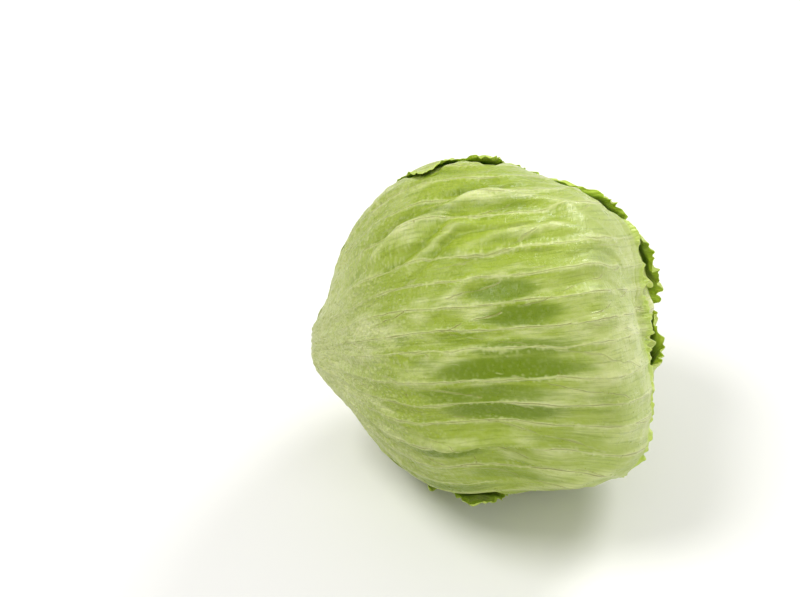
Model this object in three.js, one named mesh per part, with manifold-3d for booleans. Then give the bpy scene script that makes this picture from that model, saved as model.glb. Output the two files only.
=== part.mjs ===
// Head of crisp lettuce lying on its side: twelve wrapped leaves round a tight heart, on a cut stem.
// Millimetres, +Z up. The stem points to -X and a little down, the crown to +X and a little up.
// Each leaf is a thin curved sheet whose two faces share one set of directions from the middle of the
// head, so neighbouring leaves keep a small gap and never cross.
import * as THREE from 'three';
import { mergeVertices } from 'three/addons/utils/BufferGeometryUtils.js';
import Module from 'manifold-3d';

const wasm = await Module();
wasm.setup();

const RAD = Math.PI / 180;

// ---- driving dimensions ----
const TILT = 12; // degrees the crown end is raised
const YAW = 5; // degrees the crown end is turned to the front
const REST = 79.8; // from the middle of the head down to the surface it rests on
const LATTICE = 5; // divisions of the shared set of directions
const BLADE = 1.1; // thickness of the leaf blade
const RIB = 1.6; // extra thickness of the midrib where it joins the stem
const RIB_REACH = 62; // degrees from the stem where that extra thickness has gone
const RIB_SPREAD = 30; // degrees to each side of the midrib
const GAP = 0.45; // air between one leaf and the next
const COVER = 13.5; // degrees past a leaf's edge where the leaf under it is still held down
const RISE = 11; // degrees over which the leaf under it comes back up
const EDGE_POINTS = 60; // corners along a leaf's edge
const STEM_GAP = 0.4; // air round the stem
const CUTTER = 150; // radius that clears the whole head

// Distance from the middle to the outside at angles from the stem, on the four sides of the head.
const ANGLES = [0, 9, 18, 30, 50, 75, 100, 120, 135, 150, 180];
const SIDES = [
  [84, 84, 79, 78, 80, 84, 85, 85, 89, 85, 77], // up
  [84, 86, 83, 77, 77, 83, 84, 94, 101, 93, 77], // front
  [84, 83, 75, 76, 81, 83, 82, 90, 97, 90, 77], // down
  [84, 84, 78, 80, 82, 86, 82, 82, 88, 91, 77], // back
];

// Stem: radius at distances out from the middle. The outer end is the cut face.
const STEM = [[24, 0], [26, 3.5], [34, 7], [48, 9.5], [64, 11.2], [80.4, 12], [82.6, 11.4]];
const STEM_SEGMENTS = 28;

// Leaves from the outside in. azimuth: 0 up, 90 front. middle: degrees from the stem to the leaf's
// middle. crown, right, stem, left: degrees the leaf reaches from there. right is rising azimuth.
const LEAVES = [
  { name: 'leaf_01', azimuth: 178, middle: 74, crown: 52, right: 62, stem: 70, left: 43 },
  { name: 'leaf_02', azimuth: 268, middle: 78, crown: 84, right: 56, stem: 75, left: 58 },
  { name: 'leaf_03', azimuth: 52, middle: 79, crown: 108, right: 97, stem: 77, left: 100 },
  { name: 'leaf_04', azimuth: 190, middle: 80, crown: 77, right: 76, stem: 77, left: 72 },
  { name: 'leaf_05', azimuth: 325, middle: 82, crown: 88, right: 74, stem: 79, left: 76 },
  { name: 'leaf_06', azimuth: 102, middle: 84, crown: 98, right: 74, stem: 81, left: 72 },
  { name: 'leaf_07', azimuth: 240, middle: 86, crown: 103, right: 72, stem: 82, left: 74 },
  { name: 'leaf_08', azimuth: 17, middle: 87, crown: 104, right: 72, stem: 83, left: 72 },
  { name: 'leaf_09', azimuth: 155, middle: 88, crown: 105, right: 70, stem: 84, left: 72 },
  { name: 'leaf_10', azimuth: 292, middle: 89, crown: 105, right: 70, stem: 85, left: 70 },
  { name: 'leaf_11', azimuth: 70, middle: 90, crown: 106, right: 68, stem: 86, left: 70 },
  { name: 'leaf_12', azimuth: 207, middle: 90, crown: 106, right: 68, stem: 86, left: 68 },
];

// Colours: green outside, paler toward the heart.
const OUTER_GREEN = 0x8fb84a;
const INNER_GREEN = 0xdbe6a0;
const HEART_COLOUR = 0xe9edb8;
const STEM_COLOUR = 0xd8c79c;

// ---- axes of the head ----
const axis = new THREE.Vector3(
  Math.cos(TILT * RAD) * Math.cos(YAW * RAD),
  -Math.cos(TILT * RAD) * Math.sin(YAW * RAD),
  Math.sin(TILT * RAD),
);
const upward = new THREE.Vector3(0, 0, 1).addScaledVector(axis, -axis.z).normalize();
const frontward = new THREE.Vector3().crossVectors(upward, axis).normalize();
if (frontward.y > 0) frontward.negate();

function direction(theta, phi) {
  return new THREE.Vector3()
    .addScaledVector(axis, -Math.cos(theta))
    .addScaledVector(upward, Math.sin(theta) * Math.cos(phi))
    .addScaledVector(frontward, Math.sin(theta) * Math.sin(phi));
}

function anglesOf(v) {
  const theta = Math.acos(THREE.MathUtils.clamp(-v.dot(axis), -1, 1));
  return [theta, Math.atan2(v.dot(frontward), v.dot(upward))];
}

// ---- outside of the whole head ----
function hermite(x, values) {
  let i = 0;
  while (i < ANGLES.length - 2 && x > ANGLES[i + 1]) i++;
  const slope = (k) => (k === 0 || k === ANGLES.length - 1
    ? 0 : (values[k + 1] - values[k - 1]) / (ANGLES[k + 1] - ANGLES[k - 1]));
  const width = ANGLES[i + 1] - ANGLES[i];
  const t = (x - ANGLES[i]) / width;
  return values[i] * (2 * t ** 3 - 3 * t ** 2 + 1) + values[i + 1] * (3 * t ** 2 - 2 * t ** 3)
    + slope(i) * width * (t ** 3 - 2 * t ** 2 + t) + slope(i + 1) * width * (t ** 3 - t ** 2);
}

function outsideRadius(v) {
  const [theta, phi] = anglesOf(v);
  const [up, front, down, back] = SIDES.map((side) => hermite(theta / RAD, side));
  const radius = (up + front + down + back) / 4
    + ((up - down) / 2) * Math.cos(phi)
    + ((front - back) / 2) * Math.sin(phi)
    + ((up - front + down - back) / 4) * Math.cos(2 * phi);
  return v.z < -0.1 ? Math.min(radius, REST / -v.z) : radius;
}

// ---- shared directions ----
function sharedDirections() {
  const ball = new THREE.IcosahedronGeometry(1, LATTICE);
  ball.deleteAttribute('normal');
  ball.deleteAttribute('uv');
  return mergeVertices(ball, 1e-4);
}

const lattice = sharedDirections();
const rays = Array.from({ length: lattice.attributes.position.count }, (_, i) => (
  new THREE.Vector3().fromBufferAttribute(lattice.attributes.position, i).normalize()));

// ---- solids ----
function solid(points, triangles) {
  const vertProperties = new Float32Array(points.flatMap((p) => [p.x, p.y, p.z]));
  return new wasm.Manifold(new wasm.Mesh({ numProp: 3, vertProperties, triVerts: new Uint32Array(triangles) }));
}

function radialSolid(radii) {
  return solid(rays.map((v, i) => v.clone().multiplyScalar(radii[i])), lattice.index.array);
}

// Solid of revolution about the head's axis, toward the stem end. profile: [distance out, radius].
function turned(profile) {
  const points = [axis.clone().multiplyScalar(-profile[0][0])];
  const rows = profile.filter(([, radius]) => radius > 0);
  for (const [out, radius] of rows) {
    for (let k = 0; k < STEM_SEGMENTS; k++) {
      const turn = (k / STEM_SEGMENTS) * 2 * Math.PI;
      points.push(axis.clone().multiplyScalar(-out)
        .addScaledVector(upward, radius * Math.cos(turn))
        .addScaledVector(frontward, radius * Math.sin(turn)));
    }
  }
  const last = points.length;
  points.push(axis.clone().multiplyScalar(-rows[rows.length - 1][0]));
  const triangles = [];
  const at = (row, k) => 1 + row * STEM_SEGMENTS + (k % STEM_SEGMENTS);
  for (let k = 0; k < STEM_SEGMENTS; k++) {
    triangles.push(0, at(0, k), at(0, k + 1));
    for (let row = 0; row < rows.length - 1; row++) {
      triangles.push(at(row, k), at(row + 1, k), at(row + 1, k + 1));
      triangles.push(at(row, k), at(row + 1, k + 1), at(row, k + 1));
    }
    triangles.push(last, at(rows.length - 1, k + 1), at(rows.length - 1, k));
  }
  return outward(points, triangles);
}

// The turning direction of the axes decides which way the triangles face.
function outward(points, triangles) {
  let volume = 0;
  for (let i = 0; i < triangles.length; i += 3) {
    const [a, b, c] = [points[triangles[i]], points[triangles[i + 1]], points[triangles[i + 2]]];
    volume += a.dot(new THREE.Vector3().crossVectors(b, c));
  }
  if (volume < 0) triangles.reverse();
  return solid(points, triangles);
}

// ---- leaf outline ----
function leafFrame(leaf) {
  const theta = leaf.middle * RAD;
  const phi = leaf.azimuth * RAD;
  const middle = direction(theta, phi);
  const toCrown = direction(theta + Math.PI / 2, phi);
  const toRight = direction(Math.PI / 2, phi + Math.PI / 2);
  return { middle, toCrown, toRight };
}

// Degrees from the leaf's middle to its edge, in the direction turn (0 crown, 90 right, 180 stem).
function edgeReach(leaf, turn) {
  const corners = [leaf.crown, leaf.right, leaf.stem, leaf.left];
  const quarter = ((turn / 90) % 4 + 4) % 4;
  const i = Math.floor(quarter);
  const ease = (1 - Math.cos((quarter - i) * Math.PI)) / 2;
  const plain = corners[i] * (1 - ease) + corners[(i + 1) % 4] * ease;
  const ruffle = (1 + Math.cos(turn * RAD)) / 2;
  const wave = 1.5 * Math.sin((9 * turn + 3 * leaf.azimuth) * RAD) + 0.9 * Math.sin((17 * turn + leaf.azimuth) * RAD);
  return plain + ruffle * wave;
}

// Everything inside the leaf's outline, as a solid that widens from the middle of the head.
function leafCutter(leaf, frame) {
  const rings = [0.3, 0.6, 0.82, 1];
  const points = [new THREE.Vector3(), frame.middle.clone().multiplyScalar(CUTTER)];
  for (const share of rings) {
    for (let k = 0; k < EDGE_POINTS; k++) {
      const turn = (k / EDGE_POINTS) * 360;
      const away = edgeReach(leaf, turn) * share * RAD;
      const side = frame.toCrown.clone().multiplyScalar(Math.cos(turn * RAD))
        .addScaledVector(frame.toRight, Math.sin(turn * RAD));
      points.push(frame.middle.clone().multiplyScalar(Math.cos(away))
        .addScaledVector(side, Math.sin(away)).multiplyScalar(CUTTER));
    }
  }
  const at = (ring, k) => 2 + ring * EDGE_POINTS + (k % EDGE_POINTS);
  const triangles = [];
  for (let k = 0; k < EDGE_POINTS; k++) {
    triangles.push(1, at(0, k), at(0, k + 1));
    for (let ring = 0; ring < rings.length - 1; ring++) {
      triangles.push(at(ring, k), at(ring + 1, k), at(ring + 1, k + 1));
      triangles.push(at(ring, k), at(ring + 1, k + 1), at(ring, k + 1));
    }
    triangles.push(0, at(rings.length - 1, k + 1), at(rings.length - 1, k));
  }
  return outward(points, triangles);
}

// 1 where the leaf holds down what is under it, falling to 0 a little past its edge.
function heldDown(leaf, frame, v) {
  const away = Math.acos(THREE.MathUtils.clamp(v.dot(frame.middle), -1, 1)) / RAD;
  const turn = Math.atan2(v.dot(frame.toRight), v.dot(frame.toCrown)) / RAD;
  return 1 - THREE.MathUtils.smoothstep(away - edgeReach(leaf, turn), COVER, COVER + RISE);
}

function leafThickness(leaf, v) {
  const [theta, phi] = anglesOf(v);
  const alongRib = 1 - THREE.MathUtils.smoothstep(theta / RAD, 12, RIB_REACH);
  const aside = Math.asin(Math.sin(theta) * Math.abs(Math.sin((phi - leaf.azimuth * RAD) / 2))) * 2 / RAD;
  return BLADE + RIB * alongRib * Math.exp(-((aside / RIB_SPREAD) ** 2));
}

// ---- named pieces ----
function piece(name, body, colour) {
  const mesh = body.getMesh();
  const geometry = new THREE.BufferGeometry();
  geometry.setAttribute('position', new THREE.Float32BufferAttribute(mesh.vertProperties, 3));
  geometry.setIndex(Array.from(mesh.triVerts));
  const material = new THREE.MeshStandardMaterial({ color: colour, roughness: 0.5, metalness: 0 });
  const part = new THREE.Mesh(geometry, material);
  part.name = name;
  return part;
}

function build() {
  const group = new THREE.Group();
  group.name = 'lettuce_head';
  const grownStem = turned([
    [STEM[0][0] - STEM_GAP, 0],
    ...STEM.slice(1).map(([out, radius]) => [out - STEM_GAP, radius + STEM_GAP]),
    [CUTTER, STEM[STEM.length - 1][1] + STEM_GAP],
  ]);
  let outer = rays.map(outsideRadius);
  LEAVES.forEach((leaf, order) => {
    const frame = leafFrame(leaf);
    const inner = outer.map((radius, i) => radius - leafThickness(leaf, rays[i]));
    const sheet = radialSolid(outer).subtract(radialSolid(inner));
    const body = sheet.intersect(leafCutter(leaf, frame)).subtract(grownStem);
    const shade = (order / (LEAVES.length - 1)) ** 0.7;
    group.add(piece(leaf.name, body, new THREE.Color(OUTER_GREEN).lerp(new THREE.Color(INNER_GREEN), shade)));
    outer = outer.map((radius, i) => (
      radius - (leafThickness(leaf, rays[i]) + GAP) * heldDown(leaf, frame, rays[i])));
  });
  group.add(piece('heart', radialSolid(outer).subtract(grownStem), new THREE.Color(HEART_COLOUR)));
  group.add(piece('stem', turned(STEM), new THREE.Color(STEM_COLOUR)));
  return standOnOrigin(group);
}

// The origin is the middle of the footprint, at the surface the head rests on.
function standOnOrigin(group) {
  const box = new THREE.Box3().setFromObject(group);
  const centre = box.getCenter(new THREE.Vector3());
  group.children.forEach((part) => part.geometry.translate(-centre.x, -centre.y, -box.min.z));
  return group;
}

export default build();
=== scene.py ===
"""Head of crisp lettuce lying on its side: twelve wrapped leaves, a tight heart and a cut stem.

Sizes are millimetres about the middle of the head until a mesh is made, then metres in the part's frame.
"""

import math
from collections import namedtuple

import bpy
import numpy as np
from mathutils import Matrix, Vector


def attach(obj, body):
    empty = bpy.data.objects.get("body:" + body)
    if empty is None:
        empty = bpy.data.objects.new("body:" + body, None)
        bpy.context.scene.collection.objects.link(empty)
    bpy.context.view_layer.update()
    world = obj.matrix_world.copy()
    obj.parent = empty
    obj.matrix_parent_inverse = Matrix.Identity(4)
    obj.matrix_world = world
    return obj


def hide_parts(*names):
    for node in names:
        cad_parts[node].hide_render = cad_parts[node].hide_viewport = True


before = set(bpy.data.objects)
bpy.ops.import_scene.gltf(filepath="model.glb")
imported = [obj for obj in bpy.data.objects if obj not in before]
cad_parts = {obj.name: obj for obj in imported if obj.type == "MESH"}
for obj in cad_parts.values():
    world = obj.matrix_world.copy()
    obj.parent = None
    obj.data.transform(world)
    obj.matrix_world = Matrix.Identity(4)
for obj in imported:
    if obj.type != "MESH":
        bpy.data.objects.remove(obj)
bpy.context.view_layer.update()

# ---- sizes, in millimetres and degrees ----
MIDDLE = np.array([-1.19, 0.34, 79.8])  # the middle of the head, from the origin
REST = 79.5  # from the middle down to the surface the head lies on
FLOOR_GAP = 0.15  # how near the floor a leaf comes
TILT = math.radians(12)  # the crown end is raised
YAW = math.radians(5)  # the crown end is turned to the front
GIRTH = 84  # usual distance from the middle to the outside
PER_DEGREE = 1.48  # millimetres along the outside for one degree about the middle
LAYER = 1.25  # from the outside of one leaf to the outside of the next
BLADE = 0.75  # thickness of the leaf blade
EDGE_BLADE = 0.3  # thickness at the leaf's frilled edge
STEM_RADIUS = 11.6
STEM_HOLE = math.asin(STEM_RADIUS * 1.04 / 83)  # half angle of the hole that the stem fills
RIB_PITCH = 12.5  # from one main rib to the next at mid leaf
SIDE_PITCH = 15.0  # from one side vein to the next
SIDE_SLOPE = 0.24  # how fast the side veins leave the midrib
HEART_GAP = 0.6  # air between the heart and the last leaf

# Distance from the middle to the outside at angles from the stem, on the four sides of the head.
ANGLES = [0, 9, 18, 30, 50, 75, 100, 120, 135, 150, 180]
UP = [84, 84, 79, 78, 80, 84, 85, 85, 89, 85, 77]
FRONT = [84, 86, 83, 77, 77, 83, 84, 94, 101, 93, 77]
DOWN = [84, 83, 75, 76, 81, 83, 82, 90, 97, 90, 77]
BACK = [84, 84, 78, 80, 82, 86, 82, 82, 88, 91, 77]

# A tongue of a leaf's edge: its direction from the leaf's middle, its half width and how much further
# the edge runs out there, in degrees, and how far it flares off the head, in millimetres.
Tongue = namedtuple("Tongue", "at half more flare")
UNDERSIDE_TONGUES = [Tongue(281, 11, 14, 5.5), Tongue(254, 3, 8, 3), Tongue(214, 20, -9, 0)]
BACK_TONGUES = [Tongue(97, 10, 22, 1), Tongue(75, 6, 14, 3), Tongue(33, 6, 4, 1), Tongue(12, 5, 3, 1)]

# Leaves from the outside in: azimuth (0 up, 90 front), degrees from the stem to the leaf's middle, and
# degrees it reaches from there toward the crown, rising azimuth, the stem and falling azimuth; how
# many points lie along its edge; and its tongues.
Leaf = namedtuple("Leaf", "azimuth middle crown right stem left edge_points tongues")
LEAVES = [
    Leaf(178, 74, 52, 60, 70, 32, 1024, UNDERSIDE_TONGUES),
    Leaf(268, 78, 76, 50, 75, 58, 1024, BACK_TONGUES),
    Leaf(52, 79, 110, 99, 77, 103, 1408, []),
    Leaf(190, 80, 77, 76, 77, 72, 1024, []),
    Leaf(325, 82, 88, 74, 79, 76, 1024, []),
    Leaf(102, 84, 98, 74, 81, 72, 1024, []),
    Leaf(240, 86, 103, 72, 82, 74, 512, []),
    Leaf(17, 87, 104, 72, 83, 72, 512, []),
    Leaf(155, 88, 105, 70, 84, 72, 512, []),
    Leaf(292, 89, 105, 70, 85, 70, 512, []),
    Leaf(70, 90, 106, 68, 86, 70, 512, []),
    Leaf(207, 90, 106, 68, 86, 68, 512, []),
]
FRONT_LEAF = 2  # the broad leaf that covers the front
OUTER_LEAVES = 6  # the rest are inner leaves

# Main ribs of the broad front leaf, in millimetres to the side of its midrib.
FRONT_RIBS = [-138, -122, -107, -91, -75, -60, -37, -25, -13, -1, 8, 23, 35, 45, 60, 74, 90, 106, 122, 138]
FRONT_MIDRIB = 9  # which of them is the midrib

# Deep green patches of the front leaf: millimetres to the side of the midrib, degrees from the stem,
# half width, half length and strength.
FRONT_PATCHES = [
    (-18, 108, 6.5, 13, 0.85), (-6, 113, 6.0, 14, 0.90), (1.5, 95, 4.5, 11, 0.60), (9, 113, 5.0, 20, 0.80),
    (18, 107, 7.0, 25, 1.00), (29.5, 98, 6.0, 27, 0.80), (38, 104, 6.0, 21, 0.95), (-62, 84, 7.0, 13, 0.60),
    (-66, 108, 8.0, 11, 0.55), (-30, 142, 6.0, 15, 0.50), (-43, 112, 6.0, 12, 0.50), (63, 83, 6.0, 16, 0.80),
    (1, 45, 2.5, 4, 0.60), (1, 74, 3.5, 4, 0.60), (-40, 87, 6.0, 11, 0.50), (-23, 135, 6.0, 12, 0.40),
    (34, 131, 6.0, 9, 0.45), (12, 82, 4.0, 8, 0.60), (-6, 146, 6.0, 12, 0.35), (81, 102, 7.0, 18, 0.60),
    (97, 82, 7.0, 17, 0.70), (-84, 110, 7.0, 14, 0.55), (-98, 82, 8.0, 15, 0.55), (52, 120, 5.0, 14, 0.45),
]

# Creases of the front leaf: millimetres to the side of the midrib, from and to in degrees from the
# stem, and height.
FRONT_CREASES = [
    (59, 84, 106, 4.2), (70, 108, 116, 3.6), (-52, 94, 116, 1.0), (-80, 90, 110, 1.4), (-66, 78, 98, 1.1),
    (-47, 70, 88, 1.1), (-36, 100, 122, 0.8), (88, 95, 118, 1.1), (102, 62, 88, 1.2), (-92, 62, 84, 1.2),
]

# Folds of the upper side: from and to, each in degrees from the stem and azimuth, half width in degrees
# and height in millimetres, below zero for a hollow.
UPPER_FOLDS = [
    (66, 12, 103, -7, 4.2, -2.0), (64, 18, 102, -1, 2.8, 1.7), (73, 26, 92, 11, 2.8, -1.8),
    (74, 30, 94, 14, 1.8, 1.2), (78, 32, 93, 19, 2.0, -1.5), (100, 3, 126, -4, 2.8, 1.3),
    (101, 10, 123, 4, 3.8, -1.7), (96, 26, 124, 10, 2.6, 1.4), (104, 25, 136, 12, 3.2, -1.2),
    (48, 20, 66, 26, 2.8, -1.1), (50, 8, 70, 6, 3.0, 1.1), (131, 26, 152, 6, 3.2, -1.0),
    (126, 38, 153, 31, 3.2, -0.9), (60, 38, 84, 33, 2.6, -0.9), (84, 44, 100, 34, 2.2, 1.0),
]

# The stem from its hidden root out to the middle of the cut face: distance from the middle of the
# head, and radius.
STEM_PROFILE = [
    (24.5, 0.1), (27, 3.4), (36, 7), (50, 9.3), (66, 10.7), (76, 11.2), (80.2, 11.5),
    (81.6, 11.4), (82.2, 11.0), (82.4, 10.4), (82.4, 8.5), (82.2, 6.5), (82.0, 4.5), (81.9, 2.4),
]
STEM_COLUMNS = 96


# ---- looks ----
# Sizes of the patterns on a leaf, in millimetres.
RIB_WANDER = 7.0  # bends of the ribs
RIB_DRIFT = 5.0  # how far they move a main rib
SIDE_DRIFT = 8.0  # how far they move a side vein
RIB_WIDENING = 4.5  # wide and narrow parts of a rib
CLOUD = 13.0  # pale and fresh areas
STREAK = 3.0  # lengthwise light and dark
GRAIN = 2.8  # ragged ends of the deep green patches
THREAD = 0.9  # fine darker threads
BLISTER = 1.8  # pale pits beside the ribs, partly painted glints
PUCKER = 2.8  # relief between the ribs
CROSS_PUCKER = 2.0  # relief across the ribs
DRIED_SPOT = 6.0

# Sizes of the patterns that lie on the pieces themselves, in metres.
WAX_MARK = 0.004
HEART_CLOUD = 0.016
STEM_BLOT = 0.0024

# Settings of nodes that are used over and over.
EASE = {"interpolation_type": "SMOOTHSTEP"}
TIMES, PLUS, LESS = {"operation": "MULTIPLY"}, {"operation": "ADD"}, {"operation": "SUBTRACT"}
SCALED_PLUS = {"operation": "MULTIPLY_ADD"}

# Leaf colours: pale rib and stem end, also painted sheen on fold ridges and painted glints; fresh blade and
# deep blade, also painted shade in fold hollows; frilled edge, brighter as painted light shining through it;
# and dried vein.
OUTER_GREENS = ("d3da96", "9bae34", "6e8600", "bfd65c", "7d7a20")
INNER_GREENS = ("dadf9c", "bccb62", "92ad3a", "b4c84c", "a0965a")

# The stage, in metres: lights with their places, sizes and watts, and the camera.
WORLD_LIGHT = 0.43
LIGHTS = [
    ("key", (-0.80, -0.20, 1.45), 0.75, 16.5),
    ("rim", (0.75, 0.95, 0.9), 0.6, 13),
    ("fill", (0.95, -1.0, 0.75), 0.8, 5),
]
LIGHT_TARGET = (0, 0, 0.08)
FLOOR_HALF = 4.0
CAMERA_DISTANCE = 1.6
CAMERA_RISE = math.radians(40)
CAMERA_ASIDE = 0.0415  # how far the middle of the view lies to the left of the head's middle
CAMERA_ABOVE = 0.01425  # and above it
LENS, SENSOR = 144, 36  # in millimetres


# ---- directions about the head ----
def unit(v):
    """Vectors brought to length 1."""
    return v / np.linalg.norm(v, axis=-1, keepdims=True)


# The head's own axes: from the stem to the crown, to its upper side, and to its front.
AXIS = np.array([math.cos(TILT) * math.cos(YAW), -math.cos(TILT) * math.sin(YAW), math.sin(TILT)])
UPWARD = unit(np.array([0, 0, 1.0]) - AXIS * AXIS[2])
FRONTWARD = np.cross(AXIS, UPWARD)


def direction(theta, phi):
    """Direction at an angle theta from the stem, at azimuth phi."""
    theta, phi = np.asarray(theta, float)[..., None], np.asarray(phi, float)[..., None]
    around = np.cos(phi) * UPWARD + np.sin(phi) * FRONTWARD
    return -np.cos(theta) * AXIS + np.sin(theta) * around


def angles_of(v):
    """Angle from the stem and azimuth of a direction."""
    theta = np.arccos(np.clip(-(v @ AXIS), -1, 1))
    return theta, np.arctan2(v @ FRONTWARD, v @ UPWARD)


# ---- curves and noise ----
def smooth(x, low, high):
    """Eases from 0 at low to 1 at high."""
    t = np.clip((x - low) / (high - low), 0, 1)
    return t * t * (3 - 2 * t)


def curve(x, knots, values):
    """A smooth curve through values at knots."""
    knots, values = np.array(knots, float), np.array(values, float)
    slope = np.zeros(len(knots))
    slope[1:-1] = (values[2:] - values[:-2]) / (knots[2:] - knots[:-2])
    i = np.clip(np.searchsorted(knots, x, side="right") - 1, 0, len(knots) - 2)
    width = knots[i + 1] - knots[i]
    t = (x - knots[i]) / width
    ends = values[i] * (2 * t**3 - 3 * t**2 + 1) + values[i + 1] * (3 * t**2 - 2 * t**3)
    return ends + width * (slope[i] * (t**3 - 2 * t**2 + t) + slope[i + 1] * (t**3 - t**2))


def scatter(i, j, seed):
    """A fixed pseudo-random number from 0 to 1 for each pair of whole numbers."""
    n = np.sin(i * 127.1 + j * 311.7 + seed * 74.7) * 43758.5453
    return n - np.floor(n)


def noise(x, y, seed=0):
    """Smooth noise from -1 to 1 that changes over about one unit."""
    i, j = np.floor(x), np.floor(y)
    s, t = smooth(x - i, 0, 1), smooth(y - j, 0, 1)
    low = scatter(i, j, seed) * (1 - s) + scatter(i + 1, j, seed) * s
    high = scatter(i, j + 1, seed) * (1 - s) + scatter(i + 1, j + 1, seed) * s
    return 2 * (low * (1 - t) + high * t) - 1


# ---- the shape of the head ----
def upper_folds(along, around):
    """The folds and hollows of the upper side, in millimetres."""
    total = np.zeros_like(along)
    for start, left, end, right, half, height in UPPER_FOLDS:
        share = np.clip((along - start) / (end - start), 0, 1)
        beside = around - left - (right - left) * share - 1.5 * np.sin(along / 6 + left)
        past = np.maximum(np.maximum(start - along, along - end), 0)
        total = total + height * np.exp(-((beside / half) ** 2) - (past / 6) ** 2)
    return total


def folds(v):
    """Long soft folds that run from the stem to the crown, shared by all the leaves, in millimetres."""
    theta, phi = angles_of(v)
    along, around = np.degrees(theta), np.degrees(phi)
    top = smooth(np.cos(phi + math.radians(5)), 0.1, 0.9)
    body = smooth(along, 18, 50) * (1 - 0.55 * smooth(along, 115, 150)) * (1 - smooth(abs(around), 150, 178))
    slant = around + 0.42 * (along - 60) * top + 7 * noise(along / 26, around / 22, 9)
    wide = noise(slant / 19, along / 60, 3) * 1.1
    narrow = noise(slant / 8.5, along / 40, 5) * 0.5
    ridged = 0.6 - 1.6 * np.abs(noise(slant / 10, along / 48, 8))
    return body * (wide + narrow + (0.15 + 0.5 * top) * ridged) + upper_folds(along, around)


def outside(v):
    """Distance from the middle of the head to its outside, flat where the head rests."""
    theta, phi = angles_of(v)
    up, front, down, back = [curve(np.degrees(theta), ANGLES, side) for side in (UP, FRONT, DOWN, BACK)]
    radius = (up + front + down + back) / 4
    radius = radius + (up - down) / 2 * np.cos(phi) + (front - back) / 2 * np.sin(phi)
    radius = radius + (up - front + down - back) / 4 * np.cos(2 * phi) + folds(v)
    low = v[..., 2] < -0.1
    return np.where(low, np.minimum(radius, REST / np.where(low, -v[..., 2], 1)), radius)


def leaf_axes(leaf):
    """Direction of a leaf's middle, and the directions from there to the crown and to rising azimuth."""
    theta, phi = math.radians(leaf.middle), math.radians(leaf.azimuth)
    toward_crown = direction(theta + math.pi / 2, phi)
    return direction(theta, phi), toward_crown, direction(math.pi / 2, phi + math.pi / 2)


def tongue_share(tongue, turn):
    """1 on a tongue's middle line, falling to 0 at its sides."""
    away = np.mod(np.degrees(turn) - tongue.at + 180, 360) - 180
    return np.exp(-((away / tongue.half) ** 2))


def reach(leaf, turn):
    """Degrees from the leaf's middle to its edge; turn is 0 to the crown and grows to the right."""
    corners = np.array([leaf.crown, leaf.right, leaf.stem, leaf.left], float)
    quarter = np.mod(np.degrees(turn) / 90, 4)
    i = np.floor(quarter).astype(int) % 4
    ease = (1 - np.cos((quarter - np.floor(quarter)) * math.pi)) / 2
    plain = corners[i] * (1 - ease) + corners[(i + 1) % 4] * ease
    for tongue in leaf.tongues:
        plain = plain + tongue.more * tongue_share(tongue, turn)
    wave = 1.5 * np.sin(9 * turn + math.radians(3 * leaf.azimuth))
    wave = wave + 0.9 * np.sin(17 * turn + math.radians(leaf.azimuth))
    return plain + (1 + np.cos(turn)) / 2 * wave


def held_down(leaf, v):
    """1 under the leaf, falling to 0 a little past its edge."""
    middle, crown, right = leaf_axes(leaf)
    away = np.degrees(np.arccos(np.clip(v @ middle, -1, 1)))
    turn = np.arctan2(v @ right, v @ crown)
    return 1 - smooth(away - reach(leaf, turn), 1.5, 8)


# ---- meshes: each face is four point numbers, and the last is -1 in a triangle ----
def polar_faces(counts):
    """Faces of rings of points round a middle point; each ring has as many points or twice as many."""
    starts = np.concatenate([[1], 1 + np.cumsum(counts)])
    k = np.arange(counts[0])
    next_one = starts[0] + (k + 1) % counts[0]
    faces = [np.stack([np.zeros_like(k), starts[0] + k, next_one, np.full_like(k, -1)], 1)]
    for ring in range(len(counts) - 1):
        n, m = counts[ring], counts[ring + 1]
        k = np.arange(n)
        a, b = starts[ring] + k, starts[ring] + (k + 1) % n
        if n == m:
            c, d = starts[ring + 1] + k, starts[ring + 1] + (k + 1) % m
            faces.append(np.stack([a, c, d, b], 1))
            continue
        c, e, d = [starts[ring + 1] + (2 * k + s) % m for s in (0, 1, 2)]
        none = np.full_like(k, -1)
        for corners in ([a, c, e, none], [a, e, b, none], [b, e, d, none]):
            faces.append(np.stack(corners, 1))
    return np.concatenate(faces)


def capped_rings(rings, columns):
    """Faces of equal rings between a first and a last point."""
    last = rings * columns + 1
    k = np.arange(columns)
    start = last - columns
    cap = np.stack([start + k, np.full_like(k, last), start + (k + 1) % columns, np.full_like(k, -1)], 1)
    return np.concatenate([polar_faces(np.array([columns] * rings)), cap])


def open_edges(faces):
    """Edges that only one face has, in that face's direction."""
    edges = []
    for face in (faces[faces[:, 3] < 0][:, :3], faces[faces[:, 3] >= 0]):
        for k in range(face.shape[1]):
            edges.append(np.stack([face[:, k], face[:, (k + 1) % face.shape[1]]], 1))
    edges = np.concatenate(edges)
    keys = edges.min(1).astype(np.int64) * 10_000_000 + edges.max(1)
    _, first, count = np.unique(keys, return_index=True, return_counts=True)
    return edges[first[count == 1]]


def turned_over(faces):
    """The same faces, facing the other way."""
    turned = faces[:, [0, 3, 2, 1]]
    triangle = faces[:, 3] < 0
    turned[triangle] = faces[triangle][:, [0, 2, 1, 3]]
    return turned


def facing_out(points, faces):
    """The faces, turned over if they face the middle of the head."""
    a, b, c = [points[faces[:, k]] for k in range(3)]
    return faces if np.sum(np.cross(b - a, c - a) * a) > 0 else turned_over(faces)


def point_normals(points, faces):
    """Outward directions of the surface at its points."""
    a, b, c = [points[faces[:, k]] for k in range(3)]
    face_normal = np.cross(b - a, c - a)
    total = np.zeros_like(points)
    for k in range(4):
        used = faces[:, k] >= 0
        for axis in range(3):
            total[:, axis] += np.bincount(faces[used, k], face_normal[used, axis], len(points))
    total += points * 1e-6
    return unit(total * np.sign(np.sum(total * points, 1))[:, None])


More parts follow.
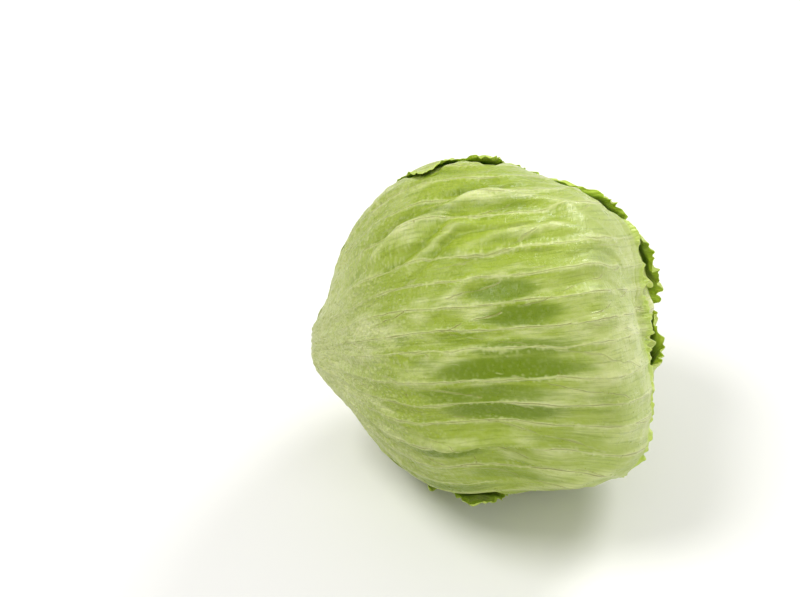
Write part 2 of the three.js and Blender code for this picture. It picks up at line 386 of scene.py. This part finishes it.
def closed_sheet(points, under, faces):
    """Points and faces of a thin closed sheet: its outside, its inside and the wall round its edges."""
    faces = facing_out(points, faces)
    count = len(points)
    back = turned_over(np.where(faces < 0, -1, faces + count))
    rim = open_edges(faces)
    wall = np.stack([rim[:, 1], rim[:, 0], rim[:, 0] + count, rim[:, 1] + count], 1)
    return np.concatenate([points, under]), np.concatenate([faces, back, wall])


def mesh_object(name, points, faces, fields):
    """A smooth-shaded mesh in metres, in the part's frame, with a number of each field at every point."""
    mesh = bpy.data.meshes.new(name)
    sizes = np.where(faces[:, 3] < 0, 3, 4)
    mesh.vertices.add(len(points))
    mesh.vertices.foreach_set("co", ((points + MIDDLE) / 1000).astype(np.float32).ravel())
    loops = faces.ravel()[faces.ravel() >= 0]
    mesh.loops.add(len(loops))
    mesh.loops.foreach_set("vertex_index", loops.astype(np.int32))
    mesh.polygons.add(len(faces))
    mesh.polygons.foreach_set("loop_start", np.concatenate([[0], np.cumsum(sizes)[:-1]]).astype(np.int32))
    mesh.polygons.foreach_set("use_smooth", np.ones(len(faces), bool))
    mesh.update(calc_edges=True)
    mesh.validate()
    for key, values in fields.items():
        mesh.attributes.new(key, "FLOAT", "POINT").data.foreach_set("value", values.astype(np.float32))
    made = bpy.data.objects.new(name, mesh)
    bpy.context.scene.collection.objects.link(made)
    return made


# ---- leaves ----
def edge_lobes(turn, seed):
    """How far the frilled edge runs out past its smooth line, in millimetres."""
    mm = turn * GIRTH
    lively = 0.6 + 0.6 * noise(mm / 21, mm * 0, seed + 4)
    lobe = noise(mm / 14, mm * 0, seed) * 2.6 + noise(mm / 6.3, mm * 0, seed + 1) * 2.2 * lively
    tooth = noise(mm / 2.6, mm * 0, seed + 2) * 1.3 * lively + noise(mm / 1.1, mm * 0, seed + 3) * 0.6
    return lobe + tooth


def leaf_grid(leaf):
    """Rings from the leaf's middle to its edge, close together near the edge: each point's share of the
    way to the edge, its turn about the middle, and the faces."""
    most = leaf.edge_points
    frill_start = 0.93
    inner = np.arange(0.012, frill_start, 0.012 * 1024 / most)
    shares = np.concatenate([inner, np.linspace(frill_start, 1, 15)])
    counts = np.where(shares < 0.09, most // 16, np.where(shares < 0.22, most // 8, most // 4))
    counts = np.where(shares > 0.45, most // 2, counts)
    counts = np.where(shares >= frill_start, most, counts)
    share = np.concatenate([[0], np.repeat(shares, counts)])
    turn = np.concatenate([[0]] + [np.arange(n) / n * 2 * math.pi for n in counts])
    return share, turn, polar_faces(counts)


# Of each point of a leaf: v, its direction from the middle of the head; outward, the direction that leads
# away from the leaf's middle; along, degrees from the stem; turn, about the leaf's middle; free, 1 where
# the edge is free and 0 at the stem; from_edge, in millimetres; and in_stem, true where the stem takes
# the point's place, so that it was moved to the stem's side.
Layout = namedtuple("Layout", "v outward along turn free from_edge in_stem")


def leaf_layout(order):
    """Where a leaf's points lie, as a Layout, and its faces."""
    leaf = LEAVES[order]
    share, turn, faces = leaf_grid(leaf)
    middle, crown, right = leaf_axes(leaf)
    free = smooth(np.cos(turn), -0.75, -0.2)
    plain = reach(leaf, turn)
    lobes = edge_lobes(turn, order * 7) * free
    rho = np.radians(plain * share + lobes / PER_DEGREE * smooth(share, 0.86, 1))
    outward = np.cos(turn)[:, None] * crown + np.sin(turn)[:, None] * right
    v = np.cos(rho)[:, None] * middle + np.sin(rho)[:, None] * outward
    theta, phi = angles_of(v)
    in_stem = theta < STEM_HOLE
    v = np.where(in_stem[:, None], direction(np.full_like(theta, STEM_HOLE), phi), v)
    along = np.degrees(np.maximum(theta, STEM_HOLE))
    from_edge = (1 - share) * plain * PER_DEGREE
    return Layout(v, outward, along, turn, free, from_edge, in_stem), faces


def across_leaf(leaf, v):
    """Millimetres from the midrib, along lines that fan out from the stem and then run side by side."""
    theta, phi = angles_of(v)
    turn = np.mod(phi - math.radians(leaf.azimuth) + math.pi, 2 * math.pi) - math.pi
    level = np.arcsin(np.clip(np.sin(theta) * np.sin(turn), -1, 1))
    share = smooth(np.degrees(theta), 65, 115)
    return GIRTH * (turn * (1 - share) + level * share)


def rib_lines(order, across, along):
    """across, stretched so that a main rib lies at each whole RIB_PITCH, and drifting as real ribs do."""
    slow = 2.4 * noise(along / 40, across / 46, order + 1) + 0.8 * noise(along / 15, across / 19, order + 2)
    if order != FRONT_LEAF:
        return across + 2 * slow
    marks = (np.arange(len(FRONT_RIBS)) - FRONT_MIDRIB) * RIB_PITCH
    return np.interp(across + slow, FRONT_RIBS, marks)


def green_patches(order, ribs, across, along, fold):
    """How green the leaf is between its ribs, from 0 to 1; on the front leaf also deeper green in fold
    hollows as painted shade.
    """
    if order != FRONT_LEAF:
        cloud = noise(ribs / 9, along / 28, order + 20) + 0.5 * noise(ribs / 5, along / 15, order + 21)
        return 0.9 * smooth(cloud, 0.05, 0.9) * smooth(along, 35, 65) * (1 - smooth(along, 125, 155))
    # painted shade: deeper green in the fold hollows of the front leaf
    total = 0.5 * smooth(-fold, 0.5, 2.2)
    for side, at, wide, length, strength in FRONT_PATCHES:
        away = ((across - side) / wide) ** 2 + ((along - at) / length) ** 2
        total = np.maximum(total, 0.88 * strength * np.exp(-(away**2) * 0.8))
    return total


def creases(order, across, along):
    """Sharp small folds where the leaf has buckled: a raised lip with a dip beside it."""
    total = np.zeros_like(across)
    if order != FRONT_LEAF:
        return total
    for side, start, end, height in FRONT_CREASES:
        away = across - side - 1.2 * np.sin(along / 7 + side)
        past = smooth(away, -0.6, 0.6)
        window = smooth(along, start - 9, start + 2) * (1 - smooth(along, end - 2, end + 9))
        lip = (1 - past) * np.exp(-((away / 7.5) ** 2)) - 0.55 * past * np.exp(-((away / 4) ** 2))
        total = total + height * window * lip
    return total


def leaf_relief(order, ribs, across, along):
    """Ribs, swellings, blisters and creases that stand out of a leaf, in millimetres."""
    from_rib = np.abs(np.mod(ribs / RIB_PITCH + 0.5, 1) - 0.5) * 2
    ridge = (1 - smooth(from_rib, 0.0, 0.75)) * smooth(along, 14, 44) * 0.65
    swell = 0.55 * noise(ribs / 10, along / 22, order + 4) + 0.28 * noise(ribs / 4.6, along / 8, order + 8)
    blister = (0.42 - 0.28 * smooth(along, 50, 85)) * noise(across / 3.3, along / 2.7, order + 5)
    return ridge + 0.6 + swell + blister + creases(order, across, along)


def edge_frill(order, place, toward_tip, shown):
    """How far the frilled edge lifts off the head and sways along itself, in millimetres."""
    turn, from_edge = place.turn, place.from_edge
    mm = turn * GIRTH
    near = np.exp(-((from_edge / 7.5) ** 2)) * place.free * shown
    close = np.exp(-((from_edge / 3.5) ** 2)) * place.free * shown
    lively = 0.55 + 0.6 * noise(mm / 24, mm * 0, order + 45)
    ruffle = noise(mm / 11, from_edge / 9, order + 40) + 0.8 * noise(mm / 4.6, from_edge / 6, order + 50)
    small = noise(mm / 2.1, from_edge / 2.5, order + 60)
    lift = near * lively * (0.4 + 0.5 * toward_tip + (0.6 + 0.7 * toward_tip) * ruffle)
    lift = lift + close * (0.1 + 1.0 * small + 1.1 * toward_tip * lively)
    for tongue in LEAVES[order].tongues:
        lift = lift + near * tongue.flare * tongue_share(tongue, turn) * (0.8 + 0.5 * ruffle)
    return np.maximum(lift, 0), close * 1.3 * noise(mm / 3.1, from_edge / 4, order + 70)


def above_floor(points):
    """The points, with any that would sink into the floor raised."""
    points[:, 2] = np.maximum(points[:, 2], FLOOR_GAP - MIDDLE[2])
    return points


def leaf_piece(order):
    """One wrapped leaf: it lies on the head under the leaves outside it, stands out in ribs and folds
    where it shows, frills at its edge, and is a blade's thickness deep."""
    place, faces = leaf_layout(order)
    v, along, from_edge = place.v, place.along, place.from_edge
    across, fold = across_leaf(LEAVES[order], v), folds(v)
    ribs = rib_lines(order, across, along)
    radius, shown = outside(v), np.ones(len(v))
    for other in LEAVES[:order]:
        held = held_down(other, v)
        radius = radius - LAYER * held
        shown = shown * (1 - held)
    radius = radius + shown * leaf_relief(order, ribs, across, along)
    toward_tip = smooth(np.cos(place.turn), -0.1, 0.8)
    lift, sway = edge_frill(order, place, toward_tip, shown)
    points = v * (radius + lift)[:, None] + AXIS * (lift * 0.9 * toward_tip)[:, None]
    points = above_floor(points + np.cross(v, place.outward) * sway[:, None])

    thick = EDGE_BLADE + (BLADE - EDGE_BLADE) * smooth(from_edge, 0, 9)
    outward = np.where((shown < 0.999)[:, None], v, point_normals(points, faces))
    in_stem = np.all(np.where(faces < 0, True, place.in_stem[faces]), 1)
    points, faces = closed_sheet(points, points - outward * thick[:, None], faces[~in_stem])
    fields = {
        "ribs": ribs,
        "green": green_patches(order, ribs, across, along, fold),
        "fold": fold,
        "along": along,
        "from_edge": from_edge,
        "shown": shown,
    }
    fields = {key: np.tile(values, 2) for key, values in fields.items()}
    return mesh_object(f"fine_leaf_{order + 1:02d}", points, faces, fields)


# ---- heart and stem ----
def heart_piece():
    """The tight inner leaves, with a dent where the stem goes in."""
    rows, columns = 90, 160
    theta = np.concatenate([[0], np.repeat(np.arange(1, rows) / rows * math.pi, columns), [math.pi]])
    phi = np.concatenate([[0], np.tile(np.arange(columns) / columns * 2 * math.pi, rows - 1), [0]])
    v = direction(theta, phi)
    radius = outside(v)
    for leaf in LEAVES:
        radius = radius - LAYER * held_down(leaf, v)
    dent, dent_radius = 1 - smooth(np.degrees(theta), 8, 16), 22
    radius = radius * (1 - dent) + dent_radius * dent
    points = v * (radius - HEART_GAP)[:, None]
    faces = facing_out(points, capped_rings(rows - 1, columns))
    return mesh_object("fine_heart", points, faces, {})


def stem_piece():
    """The cut stump: a short round stem with a slightly uneven cut face."""
    turn = np.arange(STEM_COLUMNS) / STEM_COLUMNS * 2 * math.pi
    around = np.cos(turn)[:, None] * UPWARD + np.sin(turn)[:, None] * FRONTWARD
    uneven = 1 + 0.025 * np.sin(5 * turn + 1) + 0.015 * np.sin(9 * turn)
    rings = []
    for out, radius in STEM_PROFILE:
        saw_mark = 0.25 * np.sin(turn * 3) * radius / 11 if out > 81.5 else 0 * turn
        rings.append(-AXIS * (out + saw_mark)[:, None] + around * (radius * uneven)[:, None])
    root, cut_middle = -AXIS * STEM_PROFILE[0][0], -AXIS * STEM_PROFILE[-1][0]
    points = np.concatenate([[root]] + rings + [[cut_middle]])
    faces = facing_out(points, capped_rings(len(STEM_PROFILE), STEM_COLUMNS))
    out = -(points @ AXIS)
    aside = np.linalg.norm(points + AXIS * out[:, None], axis=1)
    fields = {"cut": smooth(out, 81.2, 81.9), "aside": aside}
    return mesh_object("fine_stem", points, faces, fields)


# ---- materials ----
def colour(text):
    """Linear colour from sRGB hex."""
    parts = [int(text[i : i + 2], 16) / 255 for i in (0, 2, 4)]
    return [p / 12.92 if p <= 0.04045 else ((p + 0.055) / 1.055) ** 2.4 for p in parts] + [1.0]


def add(tree, kind, *inputs, out=0, **settings):
    """Adds a node with its settings, links or sets its inputs (in order, or named in one dict), and
    gives one of its outputs."""
    made = tree.nodes.new("ShaderNode" + kind)
    for key, value in settings.items():
        setattr(made, key, value)
    named = inputs[0] if inputs and isinstance(inputs[0], dict) else dict(enumerate(inputs))
    for key, value in named.items():
        if isinstance(value, bpy.types.NodeSocket):
            tree.links.new(value, made.inputs[key])
        else:
            made.inputs[key].default_value = value
    return made.outputs[out] if made.outputs else None


def new_material(name):
    """An empty material and its node tree."""
    material = bpy.data.materials.new(name)
    material.use_nodes = True
    material.node_tree.nodes.clear()
    return material, material.node_tree


def leaf_chart(tree, seed):
    """Millimetres across the leaf and down it, with a part of the patterns to itself for each leaf."""
    ribs = add(tree, "Attribute", attribute_name="ribs", out="Fac")
    along = add(tree, "Attribute", attribute_name="along", out="Fac")
    down_leaf = add(tree, "Math", along, PER_DEGREE, **TIMES)
    return ribs, along, add(tree, "CombineXYZ", ribs, down_leaf, seed * 9.0)


def rib_pattern(tree, chart, ribs, along, seed):
    """Main ribs RIB_PITCH apart and side veins that leave the midrib at about 13 degrees, each a soft
    pale rib about 2 mm wide with a thin dried line on it. Also gives the distance to the nearest main
    rib and a chance number for each rib."""
    stretched = add(tree, "VectorMath", chart, (1.0, 0.30, 1.0), **TIMES)
    wander = add(
        tree, "TexNoise", {"Vector": stretched, "Scale": 1 / RIB_WANDER, "Detail": 2.5, "Roughness": 0.5}
    )
    wander = add(tree, "Math", wander, 0.5, **LESS)
    drifted = add(tree, "Math", wander, RIB_DRIFT, ribs, **SCALED_PLUS)
    cell = add(tree, "Math", drifted, RIB_PITCH, operation="DIVIDE")
    key = add(tree, "Math", add(tree, "Math", cell, operation="FLOOR"), seed * 7.3, **PLUS)
    chance = add(tree, "TexWhiteNoise", {"W": key}, noise_dimensions="1D", out="Value")
    main = add(tree, "Math", add(tree, "Math", cell, 0.5, operation="PINGPONG"), RIB_PITCH, **TIMES)

    aside = add(tree, "Math", ribs, operation="ABSOLUTE")
    aside = add(tree, "Math", along, -PER_DEGREE * SIDE_SLOPE, aside, **SCALED_PLUS)
    aside = add(tree, "Math", wander, SIDE_DRIFT, aside, **SCALED_PLUS)
    side_cell = add(tree, "Math", aside, SIDE_PITCH, operation="DIVIDE")
    side_cell = add(tree, "Math", side_cell, 0.5, operation="PINGPONG")
    slow = add(
        tree, "TexNoise", {"Vector": stretched, "Scale": 1 / RIB_WIDENING, "Detail": 2.0, "Roughness": 0.5}
    )
    absent = add(tree, "MapRange", wander, -0.10, 0.0, 1.2, 0.0, **EASE)
    side = add(tree, "Math", side_cell, SIDE_PITCH, absent, **SCALED_PLUS)

    nearest = add(tree, "Math", main, add(tree, "Math", side, 0.6, **PLUS), operation="MINIMUM")
    width = add(tree, "MapRange", slow, 0.35, 0.65, 0.7, 1.9, **EASE)
    share = add(tree, "Math", nearest, width, operation="DIVIDE")
    past_base = add(tree, "MapRange", along, 20.0, 54.0, 0.0, 1.0, **EASE)
    rib = add(tree, "Math", add(tree, "MapRange", share, 0.1, 1.0, 1.0, 0.0, **EASE), past_base, **TIMES)
    either = add(tree, "Math", main, side, operation="MINIMUM")
    thin = add(tree, "MapRange", either, 0.05, 0.36, 1.0, 0.0, **EASE)
    broken = add(tree, "MapRange", slow, 0.36, 0.50, 0.0, 1.0, **EASE)
    line = add(tree, "Math", add(tree, "Math", thin, broken, **TIMES), past_base, **TIMES)
    return rib, line, main, chance


def leaf_green(tree, chart, along, rib, streaks, clouds, colours):
    """Blade colour: pale at the stem end and in pale clouds, paler on fold ridges as painted sheen and
    fresher green in fold hollows as painted shade, deep green between the ribs where the blade is thin, with
    fine darker threads down it."""
    pale, fresh, deep = colours
    fold = add(tree, "Attribute", attribute_name="fold", out="Fac")
    green = add(tree, "Attribute", attribute_name="green", out="Fac")
    # fold heights tint the blade: painted sheen on the ridges, painted shade in the hollows
    hollow = add(tree, "Math", fold, -0.17, clouds, **SCALED_PLUS)
    hollow = add(tree, "Math", add(tree, "Math", streaks, 0.5, **LESS), 0.45, hollow, **SCALED_PLUS)
    body = add(tree, "MapRange", along, 22.0, 72.0, 0.24, 1.0, **EASE)
    crown = add(tree, "MapRange", along, 112.0, 150.0, 1.0, 0.75, **EASE)
    share = add(tree, "Math", add(tree, "MapRange", hollow, 0.12, 0.60, 0.0, 1.0, **EASE), body, **TIMES)
    ground = add(tree, "MixRGB", add(tree, "Math", share, crown, **TIMES), pale, fresh)
    grain = add(tree, "VectorMath", chart, (1.0, 0.09, 1.0), **TIMES)
    grain = add(tree, "TexNoise", {"Vector": grain, "Scale": 1 / GRAIN, "Detail": 3.0, "Roughness": 0.6})
    ragged = add(tree, "Math", add(tree, "Math", grain, 0.5, **LESS), 1.1, green, **SCALED_PLUS)
    ragged = add(tree, "Math", add(tree, "Math", clouds, 0.5, **LESS), 0.3, ragged, **SCALED_PLUS)
    inside = add(tree, "MapRange", green, 0.04, 0.9, 0.10, 1.0, **EASE)
    patch = add(tree, "Math", add(tree, "MapRange", ragged, 0.22, 0.66, 0.0, 1.0, **EASE), inside, **TIMES)
    patch = add(tree, "Math", patch, add(tree, "MapRange", rib, 0.0, 1.0, 1.0, 0.35, **EASE), **TIMES)
    ground = add(tree, "MixRGB", patch, ground, deep)
    threads = add(tree, "VectorMath", chart, (1.0, 0.05, 1.0), **TIMES)
    threads = add(tree, "TexNoise", {"Vector": threads, "Scale": 1 / THREAD, "Detail": 3.0, "Roughness": 0.6})
    threads = add(tree, "MapRange", threads, 0.50, 0.66, 0.0, 0.40, **EASE)
    return add(tree, "MixRGB", add(tree, "Math", threads, body, **TIMES), ground, deep)


def leaf_marks(tree, chart, along, fine, ground, veins, colours):
    """Over the blade colour: pale ribs, pale flecks 2 mm wide beside the ribs and near the stem, partly
    blisters and partly painted glints, with green between them, dried lines and spots, and the edge in a
    brighter green, painted light shining through it."""
    pale, fresh, rim, vein = colours
    rib, line, main, chance = veins
    edge = add(tree, "Attribute", attribute_name="from_edge", out="Fac")
    shown = add(tree, "Attribute", attribute_name="shown", out="Fac")
    ground = add(tree, "MixRGB", add(tree, "Math", rib, 0.60, **TIMES), ground, pale)
    cells = {"Vector": chart, "Scale": 1 / BLISTER}
    pits = add(tree, "TexVoronoi", cells, feature="SMOOTH_F1", out="Distance")
    # pale flecks: partly pale blisters, partly painted glints beside the ribs and near the stem
    pale_fleck_and_glint = add(tree, "MapRange", pits, 0.10, 0.50, 1.0, 0.0, **EASE)
    stem_end = add(tree, "MapRange", along, 45.0, 95.0, 0.60, 0.08, **EASE)
    beside = add(tree, "MapRange", main, 0.4, 3.2, 0.45, 0.0, **EASE)
    pale_fleck_and_glint = add(tree, "Math", pale_fleck_and_glint, add(tree, "Math", stem_end, beside, operation="MAXIMUM"), **TIMES)
    ground = add(tree, "MixRGB", pale_fleck_and_glint, ground, pale)
    between = add(tree, "MapRange", fine, 0.48, 0.62, 0.0, 0.8, **EASE)
    ground = add(tree, "MixRGB", add(tree, "Math", between, stem_end, **TIMES), ground, fresh)
    strength = add(tree, "Math", line, add(tree, "MapRange", chance, 0.0, 1.0, 0.30, 0.80, **EASE), **TIMES)
    ground = add(tree, "MixRGB", strength, ground, vein)
    spots = add(
        tree, "TexNoise", {"Vector": chart, "Scale": 1 / DRIED_SPOT, "Detail": 2.0, "Roughness": 0.55}
    )
    spots = add(tree, "Math", add(tree, "MapRange", spots, 0.735, 0.775, 0.0, 0.6, **EASE), shown, **TIMES)
    ground = add(tree, "MixRGB", spots, ground, vein)
    # painted light: the thin frilled edge brightened in the rim colour, as if lit through
    frill = add(tree, "Math", add(tree, "MapRange", edge, 1.0, 8.0, 0.85, 0.0, **EASE), shown, **TIMES)
    frill = add(tree, "Math", frill, add(tree, "MapRange", along, 35.0, 75.0, 0.2, 1.0, **EASE), **TIMES)
    return add(tree, "MixRGB", frill, ground, rim), pits


def leaf_bump(tree, chart, along, fine, rib, line, streaks, pits):
    """Small relief: ribs, fine threads, puckers 3 mm apart between them, and blisters near the stem."""
    wide = add(tree, "VectorMath", chart, (0.35, 1.0, 1.0), **TIMES)
    cross = add(
        tree, "TexNoise", {"Vector": wide, "Scale": 1 / CROSS_PUCKER, "Detail": 3.0, "Roughness": 0.6}
    )
    height = add(tree, "Math", rib, 0.45, add(tree, "Math", line, -0.4, **TIMES), **SCALED_PLUS)
    height = add(tree, "Math", streaks, 0.9, height, **SCALED_PLUS)
    stem_end = add(tree, "MapRange", along, 50.0, 105.0, 1.0, 0.0, **EASE)
    for pattern, more, least in ((fine, 2.4, 0.9), (cross, 1.3, 0.4), (pits, -1.8, -0.2)):
        depth = add(tree, "Math", stem_end, more, least, **SCALED_PLUS)
        height = add(tree, "Math", pattern, depth, height, **SCALED_PLUS)
    return add(tree, "Bump", {"Height": height, "Strength": 0.7, "Distance": 0.0009})


def leaf_material(order, greens):
    """Fresh crisp leaf, grown folded, with a thin wax on it: a soft broad shine, light that scatters a
    little way in, pale ribs and deeper green between them."""
    material, tree = new_material(f"crisp_leaf_{order + 1:02d}")
    pale, fresh, deep, rim, vein = [colour(text) for text in greens]
    seed = order * 3 + 1
    ribs, along, chart = leaf_chart(tree, seed)
    rib, line, main, chance = rib_pattern(tree, chart, ribs, along, seed)
    long_way = add(tree, "VectorMath", chart, (1.0, 0.22, 1.0), **TIMES)
    streaks = add(
        tree, "TexNoise", {"Vector": long_way, "Scale": 1 / STREAK, "Detail": 4.0, "Roughness": 0.6}
    )
    half_way = add(tree, "VectorMath", chart, (1.0, 0.42, 1.0), **TIMES)
    clouds = add(tree, "TexNoise", {"Vector": half_way, "Scale": 1 / CLOUD, "Detail": 3.0, "Roughness": 0.55})
    ground = leaf_green(tree, chart, along, rib, streaks, clouds, (pale, fresh, deep))
    fine = add(tree, "TexNoise", {"Vector": chart, "Scale": 1 / PUCKER, "Detail": 5.0, "Roughness": 0.65})
    veins = (rib, line, main, chance)
    ground, pits = leaf_marks(tree, chart, along, fine, ground, veins, (pale, fresh, rim, vein))
    place = add(tree, "TexCoord", out="Object")
    wax = add(tree, "TexNoise", {"Vector": place, "Scale": 1 / WAX_MARK, "Detail": 3.0, "Roughness": 0.55})
    inputs = {
        "Base Color": ground,
        "Roughness": add(tree, "MapRange", wax, 0.3, 0.7, 0.27, 0.43, **EASE),
        "Normal": leaf_bump(tree, chart, along, fine, rib, line, streaks, pits),
        "IOR": 1.42,
        "Subsurface Weight": 0.3,
        "Subsurface Radius": (0.8, 1.0, 0.25),
        "Subsurface Scale": 0.002,
    }
    add(tree, "OutputMaterial", {"Surface": add(tree, "BsdfPrincipled", inputs)})
    return material


def heart_material():
    """Leaf tissue that has had no light: almost white with a soft shine."""
    material, tree = new_material("heart_leaf")
    place = add(tree, "TexCoord", out="Object")
    cloud = add(
        tree, "TexNoise", {"Vector": place, "Scale": 1 / HEART_CLOUD, "Detail": 4.0, "Roughness": 0.55}
    )
    inputs = {
        "Base Color": add(tree, "MixRGB", cloud, colour("e9edbb"), colour("cfdc8a")),
        "Roughness": add(tree, "MapRange", cloud, 0.3, 0.7, 0.40, 0.55, **EASE),
        "Normal": add(tree, "Bump", {"Height": cloud, "Strength": 0.5, "Distance": 0.001}),
    }
    add(tree, "OutputMaterial", {"Surface": add(tree, "BsdfPrincipled", inputs)})
    return material


def stem_material():
    """Sawn stem: cream pith with a ring of milky vessels, browned where the air has dried the cut."""
    material, tree = new_material("cut_stem")
    place = add(tree, "TexCoord", out="Object")
    aside = add(tree, "Attribute", attribute_name="aside", out="Fac")
    cut = add(tree, "Attribute", attribute_name="cut", out="Fac")
    blot = add(tree, "TexNoise", {"Vector": place, "Scale": 1 / STEM_BLOT, "Detail": 5.0, "Roughness": 0.6})
    ring_at = add(tree, "Math", blot, 2.4, aside, **SCALED_PLUS)
    inner = add(tree, "MapRange", ring_at, 6.6, 8.2, 0.0, 0.7, **EASE)
    ring = add(tree, "Math", inner, add(tree, "MapRange", ring_at, 9.0, 10.6, 1.0, 0.0, **EASE), **TIMES)
    browned = add(tree, "MapRange", blot, 0.35, 0.7, 0.0, 1.0, **EASE)
    face = add(tree, "MixRGB", browned, colour("c9a06a"), colour("9c6b3d"))
    face = add(tree, "MixRGB", ring, face, colour("7c4a26"))
    side = add(tree, "MixRGB", blot, colour("e6e0b8"), colour("c9c48a"))
    inputs = {
        "Base Color": add(tree, "MixRGB", cut, side, face),
        "Roughness": add(tree, "MapRange", blot, 0.3, 0.7, 0.55, 0.75, **EASE),
        "Normal": add(tree, "Bump", {"Height": blot, "Strength": 0.8, "Distance": 0.0006}),
    }
    add(tree, "OutputMaterial", {"Surface": add(tree, "BsdfPrincipled", inputs)})
    return material


def floor_material():
    """Matt pale paper sweep."""
    material, tree = new_material("pale_paper")
    shader = add(tree, "BsdfPrincipled", {"Base Color": colour("f2f1ee"), "Roughness": 0.7})
    add(tree, "OutputMaterial", {"Surface": shader})
    return material


# ---- scene ----
def finish_piece(piece, node, material):
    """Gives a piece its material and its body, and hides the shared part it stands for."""
    piece.data.materials.append(material)
    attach(piece, "root")
    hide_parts(node)


def build_head():
    """The leaves from the outside in, the heart and the stem."""
    for order in range(len(LEAVES)):
        outer = order < OUTER_LEAVES
        greens, slot = (OUTER_GREENS, "outer_leaf") if outer else (INNER_GREENS, "inner_leaf")
        material = leaf_material(order, greens)
        finish_piece(leaf_piece(order), f"leaf_{order + 1:02d}", material)
    finish_piece(heart_piece(), "heart", heart_material())
    finish_piece(stem_piece(), "stem", stem_material())


def look_along(aim):
    """Rotation of a light or camera that looks along aim."""
    return Vector(aim).to_track_quat("-Z", "Y").to_euler()


def area_light(name, place, size, power):
    """A round soft light aimed at the head."""
    data = bpy.data.lights.new(name, "AREA")
    data.shape = "DISK"
    data.size = size
    data.energy = power
    light = bpy.data.objects.new(name, data)
    light.location = place
    light.rotation_euler = look_along(np.array(LIGHT_TARGET) - np.array(place))
    bpy.context.scene.collection.objects.link(light)


def build_stage():
    """A paper floor, even light all round and three soft lights."""
    mesh = bpy.data.meshes.new("floor")
    corners = [(x * FLOOR_HALF, y * FLOOR_HALF, 0) for x, y in ((-1, -1), (1, -1), (1, 1), (-1, 1))]
    mesh.from_pydata(corners, [], [(0, 1, 2, 3)])
    floor = bpy.data.objects.new("floor", mesh)
    bpy.context.scene.collection.objects.link(floor)
    mesh.materials.append(floor_material())
    world = bpy.data.worlds.new("studio")
    world.use_nodes = True
    world.node_tree.nodes["Background"].inputs[0].default_value = (1, 1, 1, 1)
    world.node_tree.nodes["Background"].inputs[1].default_value = WORLD_LIGHT
    bpy.context.scene.world = world
    for light in LIGHTS:
        area_light(*light)
    bpy.context.scene.view_settings.view_transform = "Standard"


def build_camera():
    """Looks down at the head from the front."""
    centre = MIDDLE / 1000
    back = np.array([0, -math.cos(CAMERA_RISE), math.sin(CAMERA_RISE)])
    up = np.array([0, math.sin(CAMERA_RISE), math.cos(CAMERA_RISE)])
    place = centre + back * CAMERA_DISTANCE
    target = centre - np.array([CAMERA_ASIDE, 0, 0]) + up * CAMERA_ABOVE
    data = bpy.data.cameras.new("camera")
    data.lens, data.sensor_width = LENS, SENSOR
    camera = bpy.data.objects.new("camera", data)
    camera.location = place
    camera.rotation_euler = look_along(target - place)
    bpy.context.scene.collection.objects.link(camera)
    bpy.context.scene.camera = camera


build_head()
build_stage()
build_camera()
